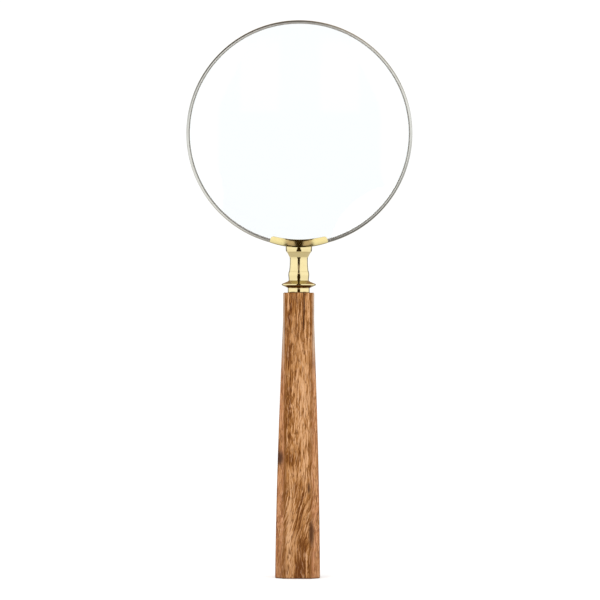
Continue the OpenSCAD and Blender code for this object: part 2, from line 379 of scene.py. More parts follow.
def ring_painted_light(g, place, tint):
    """A painted highlight keeps the ring brightest at the top and the bottom. A thin dark line on the
    shoulders is a painted dark reflection, strongest at the top, the bottom and along one diagonal of the
    ring."""
    across, above, reach = about_lens(g, place)
    diagonal = g.math("DIVIDE", g.math("MULTIPLY", across, above), g.math("MULTIPLY", reach, reach))
    upright = g.math("DIVIDE", g.math("ABSOLUTE", above), reach)
    patchy = g.math("MULTIPLY_ADD", upright, 0.41, g.math("MULTIPLY_ADD", diagonal, -0.88, 0.15))
    shoulder = (RIM_RADIUS - 0.48 * MM) / MM
    line = g.between(g.math("ABSOLUTE", g.math("SUBTRACT", reach, shoulder)), 0.36, 0.14)
    line = g.math("MULTIPLY", line, patchy, clamp=True)
    # painted highlight: the top and the bottom of the ring pale, near white
    tint = g.mix(g.between(upright, 0.40, 1.0, 0.0, 0.85), tint, (1.0, 1.0, 0.96, 1))
    # painted dark reflection: the thin dark line on the shoulders
    return g.mix(line, tint, (0.06, 0.06, 0.055, 1))


def saddle_painted_shade(g, place, tint):
    """Painted shade: the saddle goes darker and more olive towards its lower edge."""
    reach = about_lens(g, place)[2]
    clean, dark = (RIM_RADIUS - 1.9 * MM) / MM, (RIM_RADIUS + 0.7 * MM) / MM
    # painted shade, olive, towards the lower edge
    return g.mix(g.between(reach, clean, dark, 0.0, 0.62), tint, (0.44, 0.38, 0.20, 1))


# Painted light and shade laid on some pieces' colour, chosen by their lines.
PAINTED_LIGHT_BY_LINES = {"turned": flange_painted_shade, "ring": ring_painted_light, "saddle": saddle_painted_shade}


def tool_lines(g, place, lines, cloud):
    """Fine noise drawn out the way the piece was finished: round the axis, round the lens or across."""
    x, y, z = g.split(place)
    if lines == "turned":
        across = g.join(g.math("MULTIPLY", z, 14.0), 0.0, g.math("MULTIPLY", cloud, 0.6))
    elif lines == "ring":
        across = g.join(g.math("MULTIPLY", about_lens(g, place)[2], 9.0), g.math("MULTIPLY", y, 9.0), 0.0)
    else:
        across = g.join(g.math("MULTIPLY", x, 0.8), g.math("MULTIPLY", y, 6.0), g.math("MULTIPLY", z, 6.0))
    return g.noise(across, 1.0, 2, 0.5)


def brass(name, colour, roughness, lines, line_depth, tarnish):
    """Polished brass: faint polishing or turning lines, finger-worn gloss and light tarnish."""
    material, g = new_material(name)
    place = object_place(g)
    cloud = g.noise(place, 0.35, 4, 0.6)
    fine = g.noise(place, 2.6, 3, 0.6)
    dull = g.between(cloud, 0.42, 0.75)
    red, green, blue = colour
    tint = g.mix(g.math("MULTIPLY", dull, tarnish), (*colour, 1), (red * 0.62, green * 0.52, blue * 0.36, 1))
    # Some pieces get painted light or shade on their colour.
    if lines in PAINTED_LIGHT_BY_LINES:
        tint = PAINTED_LIGHT_BY_LINES[lines](g, place, tint)
    scratch = tool_lines(g, place, lines, cloud)
    gloss = g.math("ADD", roughness, g.math("MULTIPLY", g.math("MULTIPLY", dull, fine), 0.10))
    gloss = g.math("ADD", gloss, g.math("MULTIPLY", g.math("SUBTRACT", scratch, 0.5), 0.05), clamp=True)
    g.finish("ShaderNodeBsdfPrincipled", Base_Color=tint, Metallic=1.0, Roughness=gloss,
             Normal=g.bump(scratch, 1.0, line_depth))
    return material


# ---------------------------------------------------------------- wood

# Marks in the wood, in millimetres across the front and over the butt, with how far each one
# spreads. A pull bends the grain aside; a negative shade is a pale patch.
MARKS = {
    "edge knot": {"x": -8.6, "y": -7.0, "z": 54.6, "wide": 2.5, "long": 3.9, "pull": 1.4, "shade": 0.93},
    "knot stain": {"x": -4.4, "y": -9.2, "z": 54.4, "wide": 2.6, "long": 3.0, "pull": 0.0, "shade": 0.38},
    "low knot": {"x": 6.2, "y": -9.9, "z": 20.6, "wide": 1.4, "long": 6.4, "pull": -1.0, "shade": 0.84},
    "pin knot": {"x": 4.9, "y": -9.6, "z": 41.0, "wide": 0.7, "long": 2.8, "pull": 0.4, "shade": 0.78},
    "dark foot": {"x": 1.2, "y": -10.0, "z": 17.0, "wide": 2.3, "long": 17.0, "pull": 0.0, "shade": 0.32},
    "butt streak": {"x": 1.2, "y": -10.2, "z": 1.0, "wide": 2.0, "long": 9.0, "pull": 0.0, "shade": 0.52},
    "dark band": {"x": -4.2, "y": -8.4, "z": 86.0, "wide": 2.0, "long": 17.0, "pull": 0.0, "shade": 0.16},
    "top stain": {"x": -2.6, "y": -7.0, "z": 120.0, "wide": 3.0, "long": 10.0, "pull": 0.0, "shade": 0.22},
    "pale heart": {"x": 2.2, "y": -9.0, "z": 66.0, "wide": 2.6, "long": 14.0, "pull": 0.0, "shade": -0.24},
    "pale waist": {"x": 3.2, "y": -8.2, "z": 88.0, "wide": 2.4, "long": 14.0, "pull": 0.0, "shade": -0.24},
    "pale foot": {"x": -3.8, "y": -10.1, "z": 18.0, "wide": 1.8, "long": 17.0, "pull": 0.0, "shade": -0.48},
    "back knot": {"x": 3.0, "y": 9.0, "z": 88.0, "wide": 1.9, "long": 4.5, "pull": 1.1, "shade": 0.85},
}

# A mark with more shade than this is a knot, with a dark heart; the others only shift the tone.
KNOT_SHADE = 0.6

# Layers of grain: how fine each one is across and along the grain, a shift that keeps it apart
# from the others, its detail, and how much it counts in the tone.
LAYERS = {
    "bands": {"across": 0.27, "along": 0.010, "shift": 0.0, "detail": 2, "weight": 0.14},
    "streaks": {"across": 0.74, "along": 0.030, "shift": 7.0, "detail": 3, "weight": 0.18},
    "fibres": {"across": 2.30, "along": 0.050, "shift": 3.0, "detail": 3, "weight": 0.48},
    "short fibres": {"across": 2.50, "along": 0.125, "shift": 5.0, "detail": 3, "weight": 0.50},
    "pores": {"across": 2.20, "along": 0.290, "shift": 11.0, "detail": 2, "weight": 0.0},
    "flecks": {"across": 1.90, "along": 0.240, "shift": 19.0, "detail": 2, "weight": 0.0},
}

# The wood's colours from its darkest tone to its palest.
GRAIN_COLOURS = (
    (0.00, (0.115, 0.030, 0.002)),
    (0.25, (0.215, 0.077, 0.013)),
    (0.50, (0.345, 0.148, 0.040)),
    (0.75, (0.455, 0.222, 0.083)),
    (1.00, (0.600, 0.335, 0.170)),
)
MIDDLE_TONE = 0.512

STREAK_COLOUR = (0.135, 0.040, 0.004, 1)
FLECK_COLOUR = (0.620, 0.350, 0.185, 1)
PORE_COLOUR = (0.105, 0.030, 0.002, 1)
CHECK_COLOUR = (0.050, 0.014, 0.003, 1)
FLAT_EDGE_COLOUR = (0.155, 0.050, 0.006, 1)
PLANED_COLOUR = (0.560, 0.230, 0.120, 1)
PLANED_LIT_COLOUR = (0.560, 0.430, 0.320, 1)
KNOT_COLOUR = (0.060, 0.020, 0.007, 1)
END_GRAIN_COLOUR = (0.060, 0.020, 0.004, 1)
DARKER_BELOW_COLOUR = (0.120, 0.040, 0.006, 1)
BUTT_EDGE_SHADE_COLOUR = (0.060, 0.022, 0.005, 1)


def mark_nearness(g, place, mark):
    """1 at the heart of a mark, falling to 0 a few widths away."""
    offset = g.vector("SUBTRACT", place, (mark["x"], mark["y"], mark["z"]))
    scale = (1 / mark["wide"], 1 / (2 * mark["wide"]), 1 / mark["long"])
    reach = g.vector("LENGTH", g.vector("MULTIPLY", offset, scale))
    return g.math("EXPONENT", g.math("MULTIPLY", g.math("MULTIPLY", reach, reach), -0.8))


def grain_layers(g, place, nearness, wave):
    """The layers of grain. It runs up the handle, wanders, bends round the knots and slants just
    over the butt."""
    x, y, z = g.split(place)
    pull = 0.0
    for name, near in nearness.items():
        pull = g.math("MULTIPLY_ADD", near, MARKS[name]["pull"], pull)
    slant = g.between(z, 12.0, 44.0, 5.5, 0.0)
    wander = g.noise(g.vector("MULTIPLY", place, (0.06, 0.06, 0.022)), 1.0, 2)
    bend = g.math("MULTIPLY_ADD", wander, 5.0, g.math("MULTIPLY", wave, g.between(z, 60.0, 90.0, 2.6, 1.3)))
    grain_x = g.math("ADD", g.math("ADD", x, pull), g.math("ADD", bend, slant))
    grain_y = g.math("MULTIPLY_ADD", wander, 4.0, y)
    layers = {}
    for name, layer in LAYERS.items():
        across_x = g.math("MULTIPLY_ADD", grain_x, layer["across"], layer["shift"])
        across_y = g.math("MULTIPLY", grain_y, layer["across"])
        stretched = g.join(across_x, across_y, g.math("MULTIPLY", z, layer["along"]))
        layers[name] = g.noise(stretched, 1.0, layer["detail"], 0.6)
    return layers


def grain_colour(g, layers, nearness, pore):
    """The wood's own colour: the tone of its grain, then dark streaks, pale flecks and pores."""
    tone = MIDDLE_TONE
    for name, layer in LAYERS.items():
        if layer["weight"] > 0:
            tone = g.math("MULTIPLY_ADD", g.math("SUBTRACT", layers[name], 0.5), layer["weight"], tone)
    for name, near in nearness.items():
        if MARKS[name]["shade"] < KNOT_SHADE:
            tone = g.math("MULTIPLY_ADD", near, -0.22 * MARKS[name]["shade"], tone)
    colour = g.ramp(g.between(tone, 0.385, 0.635), GRAIN_COLOURS)
    streak = g.between(layers["streaks"], 0.44, 0.32)
    colour = g.mix(g.math("MULTIPLY", streak, 0.24), colour, STREAK_COLOUR)
    fleck = g.between(layers["flecks"], 0.54, 0.66)
    colour = g.mix(g.math("MULTIPLY", fleck, 0.45), colour, FLECK_COLOUR)
    return g.mix(g.math("MULTIPLY", pore, 0.78), colour, PORE_COLOUR)


def drying_check(g, place, wave):
    """A fine drying check that runs down the front from the ferrule."""
    x, y, z = g.split(place)
    aside = g.math("ABSOLUTE", g.math("MULTIPLY_ADD", wave, 0.8, g.math("SUBTRACT", x, 2.8)))
    check = g.math("MULTIPLY", g.between(aside, 0.40, 0.18), g.between(z, 111.0, 115.0))
    return g.math("MULTIPLY", check, g.between(y, -5.5, -6.5))


def darken_flat_edges(g, place, bands, colour):
    """The flats go darker just inside their edges."""
    x, y, _ = g.split(place)
    apart = g.math("MINIMUM", g.math("ABSOLUTE", x), g.math("ABSOLUTE", y))
    inside = HANDLE_FLAT / MM - 0.4
    edge_dark = g.between(g.math("ABSOLUTE", g.math("SUBTRACT", apart, inside)), 1.1, 0.3)
    edge_dark = g.math("MULTIPLY", edge_dark, g.between(bands, 0.66, 0.38, 0.30, 0.75))
    return g.mix(edge_dark, colour, FLAT_EDGE_COLOUR)


def plane_corners(g, place, facing, streaks, colour):
    """The planed corners are a little pinker than the flats; higher up they turn paler and greyer, a painted
    highlight where the corners catch the light.
    """
    z = g.split(place)[2]
    planed = g.between(g.math("MINIMUM", facing[0], facing[1]), 0.45, 0.68)
    # painted highlight: pale grey on the upper corners
    corner_colour = g.mix(g.between(z, 84.0, 110.0), PLANED_COLOUR, PLANED_LIT_COLOUR)
    amount = g.between(z, 84.0, 110.0, g.between(streaks, 0.36, 0.64, 0.05, 0.36), 0.62)
    return g.mix(g.math("MULTIPLY", planed, amount), colour, corner_colour)


def darken_knots(g, nearness, colour):
    """The knots have dark hearts."""
    for name, near in nearness.items():
        if MARKS[name]["shade"] > KNOT_SHADE:
            heart = g.math("MULTIPLY", g.between(near, 0.22, 0.95), MARKS[name]["shade"])
            colour = g.mix(heart, colour, KNOT_COLOUR)
    return colour


def darken_ends(g, place, facing, colour):
    """End grain drinks more oil and goes darker, and darker still nearer the axis: a painted shade round the
    ferrule, under the flange. The handle is darker towards the butt, and a painted shade darkens the edge of
    the butt."""
    x, y, z = g.split(place)
    centre = g.math("SQRT", g.math("ADD", g.math("MULTIPLY", x, x), g.math("MULTIPLY", y, y)))
    # painted shade: end grain darker nearer the axis, round the ferrule
    end = g.math("MULTIPLY", g.between(facing[2], 0.80, 0.97), g.between(centre, 5.4, 7.4, 0.85, 0.55))
    colour = g.mix(end, colour, END_GRAIN_COLOUR)
    # darker towards the butt
    colour = g.mix(g.between(z, 50.0, 10.0, 0.0, 0.12), colour, DARKER_BELOW_COLOUR)
    # painted shade along the edge of the butt
    return g.mix(g.between(z, 0.9, 0.1, 0.0, 0.60), colour, BUTT_EDGE_SHADE_COLOUR)


def wood():
    """Open-pored brown hardwood, oiled: wavy bands, dark streaks, pores, pale flecks and knots."""
    material, g = new_material("oiled_hardwood")
    place = object_place(g)
    facing = g.split(g.vector("ABSOLUTE", g.node("ShaderNodeTexCoord").outputs["Normal"]))
    nearness = {name: mark_nearness(g, place, mark) for name, mark in MARKS.items()}
    wave = g.noise(g.vector("MULTIPLY", place, (0.16, 0.16, 0.11)), 1.0, 3, 0.6)
    layers = grain_layers(g, place, nearness, wave)
    pore = g.between(layers["pores"], 0.45, 0.34)
    check = drying_check(g, place, wave)

    colour = grain_colour(g, layers, nearness, pore)
    colour = g.mix(g.math("MULTIPLY", check, 0.90), colour, CHECK_COLOUR)
    colour = darken_flat_edges(g, place, layers["bands"], colour)
    colour = plane_corners(g, place, facing, layers["streaks"], colour)
    colour = darken_knots(g, nearness, colour)
    colour = darken_ends(g, place, facing, colour)

    gloss = g.math("ADD", 0.42, g.math("MULTIPLY", layers["fibres"], 0.16))
    gloss = g.math("ADD", gloss, g.math("MULTIPLY", pore, 0.20), clamp=True)
    relief = g.math("SUBTRACT", g.math("MULTIPLY", layers["fibres"], 0.35), g.math("MAXIMUM", pore, check))
    g.finish("ShaderNodeBsdfPrincipled", Base_Color=colour, Roughness=gloss, Specular_IOR_Level=0.13,
             Normal=g.bump(relief, 0.6, 0.12 * MM))
    return material


# ---------------------------------------------------------------- glass and paper

def glass():
    """Clear crown glass with the faintest cool tint."""
    material, g = new_material("crown_glass")
    g.finish("ShaderNodeBsdfPrincipled", Base_Color=(0.955, 0.985, 1.0, 1), Roughness=0.0, IOR=1.52,
             Transmission_Weight=1.0)
    return material


def paper():
    """The buff packing strip round the edge of the glass."""
    material, g = new_material("packing_paper")
    fibres = g.noise(object_place(g), 6.0, 4, 0.7)
    colour = g.mix(fibres, (0.60, 0.53, 0.40, 1), (0.80, 0.74, 0.60, 1))
    g.finish("ShaderNodeBsdfPrincipled", Base_Color=colour, Roughness=0.85,
             Normal=g.bump(fibres, 0.4, 0.03 * MM))
    return material


# ---------------------------------------------------------------- the lens and its rim

def lens():
    """A biconvex lens whose faces are true arcs, with a narrow ground edge."""
    rise = LENS_HALF - LENS_EDGE_HALF
    face_radius = (LENS_RADIUS ** 2 + rise ** 2) / (2 * rise)
    rings = 40
    half = []
    for i in range(1, rings + 1):
        radius = (LENS_RADIUS - LENS_BEVEL) * i / rings
        depth = LENS_HALF - face_radius + math.sqrt(face_radius ** 2 - radius ** 2)
        half.append((radius, -depth))
    half.append((LENS_RADIUS - 0.2 * LENS_BEVEL, LENS_BEVEL - LENS_EDGE_HALF))
    half.append((LENS_RADIUS, 1.4 * LENS_BEVEL - LENS_EDGE_HALF))
    outline = half + [(radius, -depth) for radius, depth in reversed(half)]
    piece = turned_solid("lens_glass", outline, segments=256, smooth_angle=20)
    piece.data.transform(Matrix.Translation(LENS_CENTRE) @ Matrix.Rotation(math.pi / 2, 4, "X"))
    return piece


def rim_section():
    """The rolled channel as (radius, depth): flat lips, round shoulders and a plain inside."""
    inner, outer, wall, half = RIM_RADIUS - RIM_LIP, RIM_RADIUS, RIM_WALL, RIM_HALF
    lip_fillet, inside_fillet, channel_fillet = 0.18 * MM, 0.12 * MM, 0.25 * MM
    return rounded([
        (inner, -half, lip_fillet),
        (outer, -half, RIM_SHOULDER),
        (outer, half, RIM_SHOULDER),
        (inner, half, lip_fillet),
        (inner, half - wall, inside_fillet),
        (outer - wall, half - wall, channel_fillet),
        (outer - wall, wall - half, channel_fillet),
        (inner, wall - half, inside_fillet),
    ], steps=10)


def rim():
    """The channel swept round the glass, its two cut ends a thin slot apart."""
    section = rim_section()
    steps = 480
    start, sweep = RIM_SPLIT / 2, TURN - RIM_SPLIT
    rows = [[on_ring(p.x, start + sweep * i / steps, p.y) for p in section] for i in range(steps + 1)]
    return new_object("rim_channel", *capped(rows), smooth_angle=40)


# ---------------------------------------------------------------- the saddle

def saddle_half_depth(x):
    """Half the saddle's depth at a place across it: it bows out like the side of a boat."""
    middle, tip, reach = saddle_high.y, SADDLE_TIP_HALF, saddle_high.x
    swell = middle - tip
    bow = (reach ** 2 + swell ** 2) / (2 * swell)
    return middle - bow + math.sqrt(bow ** 2 - x ** 2)


def saddle_outer(angle):
    """Radius of the underside about the lens: its own centre lies below the lens centre."""
    drop = LENS_CENTRE.z - UNDERSIDE_CENTRE
    c = math.cos(angle)
    return drop * c + math.sqrt((drop * c) ** 2 - drop ** 2 + UNDERSIDE_RADIUS ** 2)


def saddle_cheek(inner, outer, angle, top_fillet, low_fillet):
    """The outside of one cheek from its top edge down: it leans back and rounds over at both edges."""
    fillets = {0.0: top_fillet, 1.0: low_fillet}
    corners = [(inner, SLOT_HALF, CHEEK_FILLET)]
    for part in (0.0, 0.15, 0.3, 0.45, 0.6, 0.75, 1.0):
        radius = inner + (outer - inner) * part
        half = saddle_half_depth(radius * math.sin(angle))
        lean = (half - SLOT_HALF) * (CHEEK_LEAN * (1 - part) - CHEEK_CURVE * (1 - part * part))
        corners.append((radius, half - lean, fillets.get(part, 0.0)))
    return corners


def saddle():
    """The cradle: a bowed block hollowed for the rim, thin at both tips and softly polished."""
    steps = 72
    seat = RIM_RADIUS + SEAT_GAP
    tip_corner = 1.3 * MM
    rows = []
    for i in range(steps + 1):
        angle = SADDLE_HALF_ANGLE * math.sin(math.pi / 2 * (2 * i / steps - 1))
        to_tip = (SADDLE_HALF_ANGLE - abs(angle)) * SADDLE_INNER
        nip = tip_corner - math.sqrt(max(0.0, tip_corner ** 2 - max(0.0, tip_corner - to_tip) ** 2))
        inner, outer = SADDLE_INNER + nip, saddle_outer(angle)
        largest = LARGEST_FILLET * (saddle_half_depth(outer * math.sin(angle)) - SLOT_HALF)
        past_middle = max(0.0, abs(inner * math.sin(angle)) - MIDDLE_HALF)
        top_fillet = CHEEK_FILLET + MIDDLE_FILLET * math.exp(-(past_middle / MIDDLE_FADE) ** 2)
        cheek = saddle_cheek(inner, outer, angle, min(top_fillet, largest), min(LOW_FILLET, largest))
        back = [(radius, -depth, fillet) for radius, depth, fillet in reversed(cheek)]
        outline = rounded(cheek + back + [(seat, -SLOT_HALF, 0.0), (seat, SLOT_HALF, 0.0)], steps=6)
        rows.append([on_ring(p.x, angle, p.y) for p in outline])
    return new_object("saddle_cradle", *capped(rows), smooth_angle=40)


# ---------------------------------------------------------------- the turned brass

def neck_outline():
    """Radii and heights of the neck's outside from its foot to the lip of the cup."""
    base, cup = neck_low.z, neck_high.x
    cup_base = saddle_low.z - CUP_HEIGHT
    bell_base = cup_base - BELL_HEIGHT
    flare_base = base + FOOT_HEIGHT + STEP_HEIGHT
    foot_edge, cup_edge, cup_lip = 0.12 * MM, 0.06 * MM, 0.26 * MM
    steps = 14
    points = [(NECK_FOOT - 0.10 * MM, base), (NECK_FOOT - 0.02 * MM, base + foot_edge / 3)]
    for i in range(steps + 1):
        s = i / steps
        swell = FOOT_SWELL * math.sin(math.pi * s ** 1.8) + 0.04 * MM * s
        points.append((NECK_FOOT + swell, base + foot_edge + (FOOT_HEIGHT - foot_edge) * s))
    for i in range(steps + 1):
        s = i / steps
        points.append((NECK_WAIST + NECK_FLARE * (1 - s) ** 2, flare_base + FLARE_HEIGHT * s))
    points.append((NECK_WAIST, bell_base - 0.25 * MM))
    for i in range(1, steps + 1):
        s = i / steps
        points.append((NECK_WAIST + (NECK_BELL - NECK_WAIST) * s ** 1.1, bell_base + BELL_HEIGHT * s))
    points.append((NECK_BELL + 0.10 * MM, cup_base + cup_edge / 3))
    for i in range(steps + 1):
        s = i / steps
        radius = NECK_CUP_BASE + (cup - NECK_CUP_BASE) * (1 - (1 - s) ** 3)
        points.append((radius, cup_base + cup_edge + (CUP_HEIGHT - cup_lip) * s))
    return points


def underside(x):
    """Height of the saddle's underside at a place across it."""
    return UNDERSIDE_CENTRE - math.sqrt(UNDERSIDE_RADIUS ** 2 - x ** 2) - SEAT_GAP


def neck():
    """The pillar: its outside is turned, and its top is filed to the curve of the saddle."""
    segments = 192
    socket, socket_floor = tail_high.y + 0.05 * MM, tail_low.z - 0.1 * MM
    bore, bore_top = STUD_RADIUS + SEAT_GAP, stud_high.z + 0.05 * MM
    cup, edge = neck_high.x, 0.12 * MM
    outside = neck_outline()
    lip = [(cup, -edge), (cup - edge / 4, -edge / 3), (cup - edge, 0.0)]
    lip += [(cup + (socket - cup) * s, 0.0) for s in (0.2, 0.4, 0.6, 0.8, 1.0)]
    rows = []
    for i in range(segments):
        c, s = math.cos(TURN * i / segments), math.sin(TURN * i / segments)
        line = [(bore, bore_top), (bore, neck_low.z)] + outside
        line += [(radius, underside(radius * c) + drop) for radius, drop in lip]
        line.append((socket, socket_floor))
        rows.append([Vector((r * c, r * s, z)) for r, z in line])
    verts, faces = strip(rows, True, False)
    columns = len(rows[0])
    faces.append(tuple(i * columns for i in range(segments)))
    faces.append(tuple(i * columns + columns - 1 for i in reversed(range(segments))))
    return new_object("neck_pillar", verts, faces, smooth_angle=30)


def flange():
    """The loose double-cone washer: two straight cones, a rounded rim and a small fillet at the neck."""
    base, top, edge = flange_low.z, flange_high.z, flange_high.x
    bore, hub, collar = STUD_RADIUS + LOOSE_GAP, ferrule_high.x, NECK_FOOT + 0.15 * MM
    rim_base, rim_top, rim_fillet = base + 1.28 * MM, base + 1.82 * MM, 0.15 * MM
    cove, cove_drop, cove_fillet = collar + 0.12 * (edge - collar), 0.35 * MM, 0.6 * MM
    return lathe("flange_disc", rounded([
        (bore, base, 0.0),
        (hub, base, 0.06 * MM),
        (edge, rim_base, rim_fillet),
        (edge, rim_top, rim_fillet),
        (cove, top - cove_drop, cove_fillet),
        (collar, top, 0.0),
        (bore, top, 0.0),
    ], steps=6), segments=192, smooth_angle=30)


def ferrule():
    """The plain cap on top of the handle, pressed over the end of the threaded bush."""
    outer, base, top = ferrule_high.x, ferrule_low.z, ferrule_high.z
    bore, seat = STUD_RADIUS + LOOSE_GAP, INSERT_RADIUS + SEAT_GAP
    shelf = insert_high.z + SEAT_GAP
    return lathe("ferrule_cap", rounded([
        (seat, base, 0.0),
        (outer, base, 0.04 * MM),
        (outer, top, 0.14 * MM),
        (bore, top, 0.10 * MM),
        (bore, shelf, 0.0),
        (seat, shelf, 0.0),
    ], steps=4), segments=160, smooth_angle=35)


# ---------------------------------------------------------------- the screw

def thread_radius(crest, height, angle):
    """Radius of a right-hand 60 degree thread, flat at crest and root."""
    phase = (height / THREAD_PITCH - angle / TURN) % 1.0
    away = abs(phase - 0.5) * 2
    climb = min(1.0, max(0.0, (away - THREAD_CREST) / THREAD_FLANK))
    return crest - THREAD_DEPTH * climb


def screw_rows(crest, low, high, segments):
    """Rings of a thread from low to high, run out to the root at both ends."""
    count = round((high - low) / (THREAD_PITCH / ROWS_PER_PITCH))
    rows = []
    for j in range(count + 1):
        z = low + (high - low) * j / count
        limit = crest - THREAD_DEPTH + min(z - low, high - z) * THREAD_DEPTH / THREAD_RUNOUT
        row = []
        for i in range(segments):
            angle = TURN * i / segments
            radius = min(thread_radius(crest, z, angle), max(limit, crest - THREAD_DEPTH))
            row.append(Vector((radius * math.cos(angle), radius * math.sin(angle), z)))
        rows.append(row)
    return rows


def stud():
    """The stud: a cut M5 thread below the neck and a plain shank inside it."""
    segments = 64
    chamfer = 0.3 * MM
    rows = screw_rows(STUD_RADIUS, stud_low.z, neck_low.z, segments)
    rows.append(circle(STUD_RADIUS, neck_low.z + 0.2 * MM, segments))
    rows.append(circle(STUD_RADIUS, stud_high.z - chamfer, segments))
    rows.append(circle(STUD_RADIUS - chamfer, stud_high.z, segments))
    return new_object("stud_thread", *capped(rows), smooth_angle=40)


# The outside of the bush from its foot up: the share of its height, how deep it is cut there,
# and whether it is knurled.
INSERT_PROFILE = (
    (0.00, INSERT_CHAMFER, False),
    (0.03, 0.0, True),
    (0.20, 0.0, True),
    (0.22, INSERT_GROOVE, False),
    (0.40, INSERT_GROOVE, False),
    (0.42, 0.0, True),
    (0.70, 0.0, True),
    (0.72, INSERT_GROOVE, False),
    (0.84, INSERT_GROOVE, False),
    (0.86, 0.0, False),
    (1.00, 0.0, False),
)


def insert():
    """The bush in the wood: knurled outside so the glue grips it, threaded inside."""
    segments = 96
    low, high, bore = insert_low.z, insert_high.z, STUD_RADIUS + THREAD_GAP
    rows = []
    for share, cut, knurled in INSERT_PROFILE:
        row = circle(INSERT_RADIUS - cut, low + (high - low) * share, segments)
        if knurled:
            for v in row[1::2]:
                v.xy *= 1 - KNURL_DEPTH / v.xy.length
        rows.append(row)
    thread = screw_rows(bore, low, high, segments)
    for row in thread:
        for v in row:
            # The bore opens to its full width at both ends, where the thread begins.
            fade = min(1.0, min(v.z - low, high - v.z) / THREAD_RUNOUT)
            v.xy = v.xy.normalized() * (bore + (v.xy.length - bore) * fade)
    verts, faces = strip(rows + thread[::-1], True, True)
    return new_object("insert_bush", verts, faces, smooth_angle=40)


# ---------------------------------------------------------------- the handle

def half_flats(z):
    """Half the width across the flats at a height over the butt."""
    u = max(0.0, (1 - z / HANDLE_LENGTH - HANDLE_PARALLEL) / (1 - HANDLE_PARALLEL))
    widened = HANDLE_BULGE * math.sin(math.pi / 2 * u) + (1 - HANDLE_BULGE) * u
    return HANDLE_TOP + (HANDLE_BUTT - HANDLE_TOP) * widened


def handle_section(z, inset):
    """The eight-sided section at a height, its arrises just softened, as points in X and Y."""
    flats = half_flats(z)
    corner = (flats + HANDLE_FLAT) / math.sqrt(2)
    flats, corner = flats - inset, corner - inset
    reach = math.sqrt(2) * corner - flats
    corners = []
    for quarter in range(4):
        turn = Matrix.Rotation(math.pi / 2 * quarter, 2)
        for a, b in ((flats, -reach), (flats, reach)):
            p = turn @ Vector((a, b))
            corners.append((p.x, p.y, HANDLE_EDGE))
    arc_steps, flat_parts, corner_parts = 4, 10, 4
    outline = rounded(corners, arc_steps)
    per_corner = arc_steps + 1
    ring = []
    for i in range(8):
        arc = outline[i * per_corner:(i + 1) * per_corner]
        following = outline[(i + 1) % 8 * per_corner]
        ring += arc
        parts = flat_parts if i % 2 == 0 else corner_parts
        ring += [arc[-1].lerp(following, k / parts) for k in range(1, parts)]
    return ring


def handle_levels():
    """Heights up the handle, and how far the section is drawn in at each to round the two ends."""
    steps = 90
    turns = [math.pi / 8 * k for k in range(4)]
    butt = [(HANDLE_EDGE * (1 - math.cos(t)), HANDLE_EDGE * (1 - math.sin(t))) for t in turns]
    sides = [(HANDLE_EDGE + (HANDLE_LENGTH - 2 * HANDLE_EDGE) * i / steps, 0.0) for i in range(steps + 1)]
    top = [(HANDLE_LENGTH - height, inset) for height, inset in reversed(butt)]
    return butt + sides + top


def handle():
    """The handle: one lofted block with broken edges at both ends and a bored socket."""
    rows = []
    for z, inset in handle_levels():
        rows.append([Vector((p.x, p.y, z)) for p in handle_section(z, inset)])
    socket = INSERT_RADIUS + SEAT_GAP
    lead_in, top = 0.15 * MM, HANDLE_LENGTH
    for radius, z in ((socket + lead_in, top), (socket, top - lead_in), (socket, insert_low.z)):
        rows.append([v.xy.normalized().to_3d() * radius + Vector((0, 0, z)) for v in rows[-1]])
    return new_object("handle_wood", *capped(rows), smooth_angle=25)


# ---------------------------------------------------------------- studio

CAMERA_LENS = 200
CAMERA_DISTANCE = 1.5196
CAMERA_ASIDE = 0.6 * MM
CAMERA_LOWERED = 0.57 * MM
CAMERA_ROLL = math.radians(-0.23)

FLOOR_RADIUS = 3.0
LIGHT_TARGET = (0, 0, 0.1)
LIGHT_SIZE = 0.9


def camera():
    data = bpy.data.cameras.new("camera")
    data.lens = CAMERA_LENS
    data.sensor_width = 36
    data.clip_start = 0.05
    piece = bpy.data.objects.new("camera", data)
    bpy.context.scene.collection.objects.link(piece)
    middle = (rim_high.z + handle_low.z) / 2
    piece.location = (CAMERA_ASIDE, -CAMERA_DISTANCE, middle - CAMERA_LOWERED)
    piece.rotation_euler = (math.pi / 2, CAMERA_ROLL, 0)
    bpy.context.scene.camera = piece


def mirror_angles(g):
    """How a mirror faces, in degrees, when it shows this part of the tent to someone in front.

    Turn is its angle to either side, lean its angle up or down, and tilt both together.
    """
    degrees = 180 / math.pi
    x, y, z = g.split(g.node("ShaderNodeTexCoord").outputs["Generated"])
    side, ahead = g.math("ABSOLUTE", x), g.math("SUBTRACT", 1.0, y)
    reach = g.math("MAXIMUM", g.vector("LENGTH", g.join(x, ahead, z)), 0.0001)
    turn = g.math("MULTIPLY", g.math("ARCTAN2", side, ahead), degrees)
    lean = g.math("MULTIPLY", g.math("ARCSINE", g.math("DIVIDE", z, reach)), degrees)
    tilt = g.math("MULTIPLY", g.math("ARCCOSINE", g.math("DIVIDE", ahead, reach)), degrees)
    return turn, lean, tilt


